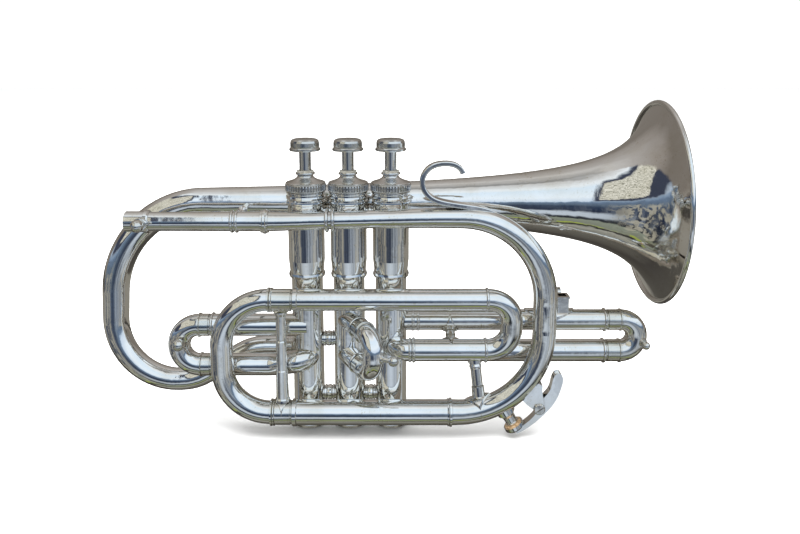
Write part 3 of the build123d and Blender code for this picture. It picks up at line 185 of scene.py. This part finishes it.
def light_panels(tree, x, y, z, level):
    """How bright the panels round the horizon are, which give the upright tubes their streaks."""
    heading = math_node(tree, "ARCTAN2", x, math_node(tree, "MULTIPLY", y, -1.0))
    around = scaled(tree, heading, 0.5 / math.pi, 0.5)
    turn = node(tree, "ShaderNodeCombineXYZ")
    link(tree, heading, turn.inputs[0])
    link(tree, math_node(tree, "MULTIPLY", z, 0.15), turn.inputs[2])
    streak = ramp(tree, noise(tree, turn.outputs[0], 5.2, 4, 0.7), [
        (0.44, 0.0), (0.47, 0.30), (0.52, 0.45), (0.55, 1.0)])
    aside = ramp(tree, around, [
        (0.0, 0.5), (0.22, 0.28), (0.45, 0.20), (0.49, 0.06),
        (0.512, 0.10), (0.53, 0.8), (0.78, 0.8), (1.0, 0.5)])
    fine = ramp(tree, noise(tree, turn.outputs[0], 17.0, 3, 0.6), [(0.42, 0.25), (0.58, 1.0)])
    steady = ramp(tree, around, [(0.495, 0.0), (0.515, 0.55), (0.60, 0.75), (0.66, 0.60), (0.74, 0.0)])
    low = ramp(tree, level, [
        (0.19, 0.0), (0.24, 1.0), (0.335, 1.0), (0.37, 0.52), (0.49, 0.46), (0.54, 0.0)])
    panels = math_node(tree, "MAXIMUM", product(tree, streak, aside), product(tree, steady, fine))
    # One more panel, seen only by surfaces that look well downwards
    ahead = ramp(tree, around, [(0.38, 0.0), (0.43, 0.6), (0.50, 0.8), (0.60, 0.4), (0.64, 0.0)])
    beneath = ramp(tree, level, [(0.20, 0.0), (0.24, 1.0), (0.31, 1.0), (0.365, 0.0)])
    return math_node(tree, "MAXIMUM", product(tree, panels, low), product(tree, ahead, beneath))


def with_window(tree, room, direction, across, level):
    """The room with a window full of leaves, in a dark frame, high on the left."""
    surround = product(tree, window(tree, across, 0.015, 0.350, 0.012), window(tree, level, 0.59, 0.92, 0.02))
    room = mix(tree, surround, room, (0.045, 0.054, 0.085))
    leaves = ramp(tree, noise(tree, direction, 34.0, 6, 0.75), [
        (0.40, (0.16, 0.16, 0.12)), (0.48, (0.60, 0.59, 0.50)), (0.60, (0.86, 0.85, 0.78))])
    pane = product(tree, window(tree, across, 0.085, 0.335, 0.006), window(tree, level, 0.62, 0.90, 0.01))
    return mix(tree, pane, room, leaves)


def with_broken_light(tree, room, direction, across, level):
    """The room with swirls of light low on both sides, and grass in patches near the ground."""
    swirls = ramp(tree, noise(tree, direction, 5.0, 3, 0.6, 1.6), [(0.50, 0.0), (0.54, 0.7)])
    sides = ramp(tree, across, [(0.20, 1.0), (0.34, 0.0), (0.70, 0.0), (0.85, 0.8)])
    swirls = product(tree, swirls, sides, window(tree, level, 0.12, 0.49, 0.03))
    room = mix(tree, swirls, room, (0.48, 0.46, 0.38))
    patches = ramp(tree, noise(tree, direction, 6.0, 2, 0.5), [(0.48, 0.0), (0.53, 1.0)])
    grass = product(tree, patches, window(tree, level, 0.072, 0.083, 0.004))
    return mix(tree, grass, room, (0.34, 0.41, 0.08))


def studio_world():
    """The surroundings, which only mirror-like surfaces see."""
    world = bpy.data.worlds.new("studio")
    bpy.context.scene.world = world
    world.use_nodes = True
    tree = world.node_tree
    tree.nodes.clear()
    direction = node(tree, "ShaderNodeTexCoord").outputs["Generated"]
    split = node(tree, "ShaderNodeSeparateXYZ")
    link(tree, direction, split.inputs[0])
    x, y, z = split.outputs
    across = scaled(tree, x, 0.5, 0.5)
    wander = math_node(tree, "SUBTRACT", noise(tree, direction, 2.6, 4, 0.6), 0.5)
    level = scaled(tree, scaled(tree, wander, 0.16, z), 0.5, 0.5)
    room = mix(tree, light_panels(tree, x, y, z, level), front_bands(tree, level), panel_light)
    room = with_window(tree, room, direction, across, level)
    room = with_broken_light(tree, room, direction, across, level)
    side = scaled(tree, wander, 0.22, math_node(tree, "MULTIPLY", y, -1.0))
    facing = ramp(tree, scaled(tree, side, 0.5, 0.5), [(0.465, 0.0), (0.49, 1.0)])
    room = mix(tree, facing, back_bands(tree, level), room)
    # Eyes and dull surfaces see even white, so that the floor and the space behind it are one pale tone
    paths = node(tree, "ShaderNodeLightPath")
    plain = math_node(tree, "MAXIMUM", paths.outputs["Is Camera Ray"], paths.outputs["Is Diffuse Ray"])
    background = node(tree, "ShaderNodeBackground")
    link(tree, mix(tree, plain, room, plain_white), background.inputs["Color"])
    link(tree, background.outputs[0], node(tree, "ShaderNodeOutputWorld").inputs[0])


# ---- Floor and lamp -----------------------------------------------------------------------------
def soft_light(name, place, aim, size, power):
    """A large soft lamp that lights the floor and the dull parts, and isn't mirrored."""
    data = bpy.data.lights.new(name, "AREA")
    data.shape = "DISK"
    data.size = size
    data.energy = power
    lamp = bpy.data.objects.new(name, data)
    lamp.location = place
    lamp.rotation_euler = (Vector(aim) - Vector(place)).to_track_quat("-Z", "Y").to_euler()
    lamp.visible_glossy = False
    bpy.context.collection.objects.link(lamp)


def pale_floor():
    """A plain pale floor under the bottom caps, which the metal doesn't mirror."""
    mesh = bpy.data.meshes.new("floor")
    half = 6.0                               # to each side, so far that its edge doesn't show
    corners = [(-half, -half, rest_z), (half, -half, rest_z), (half, half, rest_z), (-half, half, rest_z)]
    mesh.from_pydata(corners, [], [(0, 1, 2, 3)])
    floor = bpy.data.objects.new("floor", mesh)
    bpy.context.collection.objects.link(floor)
    material = bpy.data.materials.new("floor_paper")
    material.use_nodes = True
    shader = material.node_tree.nodes["Principled BSDF"]
    shader.inputs["Base Color"].default_value = (0.96, 0.96, 0.955, 1)
    shader.inputs["Roughness"].default_value = 0.9
    shader.inputs["Specular IOR Level"].default_value = 0.0
    mesh.materials.append(material)
    floor.visible_glossy = False


studio_world()
pale_floor()
soft_light("top_lamp", place=(0.15, -0.1, 1.6), aim=(0.15, 0.0, -0.05), size=2.4, power=75.0)


# ---- Materials ----------------------------------------------------------------------------------
def new_material(name):
    """A material with one principled shader: itself, its tree, the shader and object coordinates."""
    material = bpy.data.materials.new(name)
    material.use_nodes = True
    tree = material.node_tree
    tree.nodes.clear()
    shader = node(tree, "ShaderNodeBsdfPrincipled")
    link(tree, shader.outputs[0], node(tree, "ShaderNodeOutputMaterial").inputs[0])
    return material, tree, shader, node(tree, "ShaderNodeTexCoord").outputs["Object"]


def add_relief(tree, shader, height, depth):
    """Bumps of a depth in metres on a shader."""
    bump = node(tree, "ShaderNodeBump")
    bump.inputs["Strength"].default_value = 1.0
    bump.inputs["Distance"].default_value = depth
    link(tree, height, bump.inputs["Height"])
    link(tree, bump.outputs[0], shader.inputs["Normal"])


def inside_flare(tree):
    """One on the bell's inner face, where the surface looks towards the bell's axis, less near the rim."""
    geometry = node(tree, "ShaderNodeNewGeometry")
    place = node(tree, "ShaderNodeSeparateXYZ")
    facing = node(tree, "ShaderNodeSeparateXYZ")
    link(tree, geometry.outputs["Position"], place.inputs[0])
    link(tree, geometry.outputs["Normal"], facing.inputs[0])
    outward = 0.0
    for axis, centre in zip((1, 2), bell_axis):
        off_centre = math_node(tree, "SUBTRACT", place.outputs[axis], centre)
        outward = scaled(tree, off_centre, facing.outputs[axis], outward)
    inner = math_node(tree, "LESS_THAN", outward, 0.0)
    ahead = math_node(tree, "GREATER_THAN", place.outputs[0], flare_start_x)
    from_rim = math_node(tree, "SUBTRACT", flare_end_x, place.outputs[0])
    return product(tree, inner, ahead, math_node(tree, "MULTIPLY", from_rim, 20.0, clamp=True))


lengthwise_grain, upright_grain = (60, 2600, 2600), (2600, 2600, 60)


def metal(name, clean, tarnish, wear=1.0, gloss=0.025, dents=1.0, grain=lengthwise_grain, inner_haze=0.0):
    """Plated or drawn metal: tarnish in clouds, specks and corners, wiped haze, hairline scratches and
    shallow dents. The grain is the scratches' scale on each axis; the inner haze dulls a bell's bore."""
    material, tree, shader, place = new_material(name)
    veil = ramp(tree, noise(tree, place, 38.0, 4, 0.6, 0.4), [(0.42, 0.0), (0.72, 1.0)])
    spots = ramp(tree, noise(tree, place, 700.0, 3, 0.7), [(0.60, 0.0), (0.66, 1.0)])
    patchy = ramp(tree, noise(tree, place, 60.0, 2, 0.5), [(0.45, 0.0), (0.65, 1.0)])
    corner = node(tree, "ShaderNodeAmbientOcclusion", samples=6)
    corner.inputs["Distance"].default_value = 2.2 * mm
    crevice = ramp(tree, corner.outputs["AO"], [(0.30, 1.0), (0.78, 0.0)])
    uneven = ramp(tree, noise(tree, place, 210.0, 3, 0.6), [(0.3, 0.35), (0.7, 1.0)])
    worn_in = product(tree, crevice, uneven)
    aged = product(tree, veil, 0.30 * wear)
    aged = scaled(tree, product(tree, spots, patchy), 0.55 * wear, aged, clamp=True)
    colour = mix(tree, aged, clean, tarnish)
    colour = mix(tree, product(tree, worn_in, 0.75), colour, (0.10, 0.085, 0.06))
    hairs = hairlines(tree, place, grain, [(0.60, 0.0), (0.68, 1.0)])
    crossed = hairlines(tree, place, (2200, 900, 90), [(0.64, 0.0), (0.72, 1.0)])
    scratches = math_node(tree, "ADD", hairs, crossed)
    wiped = ramp(tree, noise(tree, place, 70.0, 3, 0.6, 1.0), [(0.45, 0.0), (0.75, 1.0)])
    rough = scaled(tree, wiped, 0.03 * wear, gloss)
    rough = scaled(tree, scratches, 0.05 * wear, rough)
    rough = scaled(tree, aged, 0.14, rough)
    rough = scaled(tree, worn_in, 0.30, rough)
    if inner_haze:
        rough = scaled(tree, inside_flare(tree), inner_haze, rough)
    relief = scaled(tree, noise(tree, place, 420.0, 2, 0.5), 0.08, noise(tree, place, 85.0, 2, 0.5))
    relief = scaled(tree, scratches, -0.008, relief)
    shader.inputs["Metallic"].default_value = 1.0
    link(tree, colour, shader.inputs["Base Color"])
    link(tree, rough, shader.inputs["Roughness"])
    add_relief(tree, shader, relief, 0.14 * mm * dents)
    return material


def soft_matter(name, stops, scale, relief_scale, depth, rough):
    """Felt or cork: speckled colour, rough all over, with a fine pile or pores in relief."""
    material, tree, shader, place = new_material(name)
    link(tree, ramp(tree, noise(tree, place, scale, 4, 0.7), stops), shader.inputs["Base Color"])
    pores = noise(tree, place, relief_scale, 3, 0.7)
    link(tree, scaled(tree, pores, 0.15, rough), shader.inputs["Roughness"])
    add_relief(tree, shader, pores, depth)
    return material


silver = (0.94, 0.935, 0.915)
felt_tones = [(0.3, (0.17, 0.165, 0.14)), (0.7, (0.44, 0.43, 0.38))]
cork_tones = [(0.35, (0.20, 0.11, 0.05)), (0.5, (0.52, 0.35, 0.19)), (0.75, (0.66, 0.47, 0.28))]
finishes = {
    "silver_plate": metal("silver_plate", silver, (0.66, 0.57, 0.38)),
    "bell_plate": metal("bell_plate", silver, (0.62, 0.55, 0.40), wear=1.2,
                        grain=(1800, 240, 240), inner_haze=0.30),
    "slide_metal": metal("slide_metal", (0.88, 0.87, 0.82), (0.60, 0.53, 0.36), wear=1.3,
                         gloss=0.09, grain=(2600, 260, 260)),
    "fitting_metal": metal("fitting_metal", (0.90, 0.89, 0.86), (0.50, 0.44, 0.30), wear=1.5,
                           gloss=0.08, dents=2.2),
    "button_metal": metal("button_metal", (0.84, 0.84, 0.82), (0.52, 0.50, 0.44), wear=1.7,
                          gloss=0.13, dents=0.6, grain=(900, 900, 900)),
    "cap_metal": metal("cap_metal", (0.90, 0.89, 0.87), (0.55, 0.49, 0.35), wear=1.4,
                       gloss=0.15, dents=0.6, grain=upright_grain),
    "piston_metal": metal("piston_metal", (0.78, 0.77, 0.74), (0.55, 0.52, 0.44), wear=1.2,
                          gloss=0.16, dents=0.3, grain=upright_grain),
    "spring_steel": metal("spring_steel", (0.58, 0.57, 0.55), (0.34, 0.28, 0.20), wear=1.4,
                          gloss=0.25, dents=0.3),
    "felt": soft_matter("felt", felt_tones, 900.0, 2600.0, 0.3 * mm, 0.8),
    "cork": soft_matter("cork", cork_tones, 650.0, 1500.0, 0.2 * mm, 0.7)}

slot_of = {part["node"]: part["material_slot"] for part in frame["record"]["subparts"]}
for name, piece in frame["nodes"].items():
    for holder in piece.material_slots:
        holder.material = finishes[slot_of[name]]


# ---- Knurled top caps ---------------------------------------------------------------------------
def cap_outline(outer):
    """One cap's section, in millimetres: radius, height above its foot, share of the ribs' depth."""
    socket, stem_hole, roof = 9.9, 3.4, 3.1  # the bore round the casing, the stem's hole, the bore's top
    skirt = [
        (socket, 0.0, 0), (outer - 0.4, 0.0, 0), (outer - 0.1, 0.15, 0), (outer, 0.4, 0), (outer, 0.55, 0),
        (outer - 0.15, 0.7, 0.5), (outer, 0.95, 1), (outer, 3.6, 1), (outer - 0.15, 3.85, 0.5),
        (outer, 4.0, 0), (outer - 0.15, 4.15, 0), (outer - 0.45, 4.3, 0), (outer - 0.35, 4.55, 0),
        (outer - 0.3, 4.75, 0), (outer - 0.45, 4.95, 0), (outer - 0.75, 5.1, 0)]
    shoulder = [
        (9.9, 5.45, 0), (8.4, 5.9, 0), (6.9, 6.5, 0), (6.0, 7.0, 0), (5.3, 7.5, 0), (4.8, 8.0, 0),
        (4.55, 8.5, 0), (4.55, 8.95, 0)]
    neck_ring = [
        (4.8, 9.2, 0), (5.25, 9.35, 0), (5.5, 9.6, 0), (5.5, 10.15, 0), (5.35, 10.45, 0), (5.0, 10.6, 0)]
    inside = [(stem_hole, 10.6, 0), (stem_hole, roof, 0), (socket, roof, 0)]
    return skirt + shoulder + neck_ring + inside


def knurled_caps():
    """The three top caps with upright ribs cut round their skirts, in place of the plain ones."""
    low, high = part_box("top_caps")
    outline = cap_outline((high[1] - low[1]) / 2 / mm)
    centre_y = (high[1] + low[1]) / 2
    rib_count, rib_depth = 44, 0.8
    rib_steps = (0.0, 0.0, 1.0, 1.0)         # the share of the depth at four places across a rib
    turns = rib_count * len(rib_steps)
    vertices, faces = [], []
    for number in (1, 2, 3):
        stem_low, stem_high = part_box(f"valve_stem_{number}")
        centre_x = (stem_low[0] + stem_high[0]) / 2
        first = len(vertices)
        for radius, height, share in outline:
            for turn in range(turns):
                reach = (radius - share * rib_depth * rib_steps[turn % len(rib_steps)]) * mm
                angle = 2 * math.pi * turn / turns
                vertices.append((centre_x + reach * math.cos(angle), centre_y + reach * math.sin(angle),
                                 low[2] + height * mm))
        for ring in range(len(outline)):
            below = first + ring * turns
            above = first + (ring + 1) % len(outline) * turns
            for turn in range(turns):
                after = (turn + 1) % turns
                faces.append((below + turn, below + after, above + after, above + turn))
    mesh = bpy.data.meshes.new("knurled_top_caps")
    mesh.from_pydata(vertices, [], faces)
    mesh.polygons.foreach_set("use_smooth", [True] * len(mesh.polygons))
    mesh.set_sharp_from_angle(angle=math.radians(38))
    mesh.materials.append(finishes["cap_metal"])
    caps = bpy.data.objects.new("knurled_top_caps", mesh)
    bpy.context.collection.objects.link(caps)
    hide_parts("top_caps")
    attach(caps, "horn")


knurled_caps()
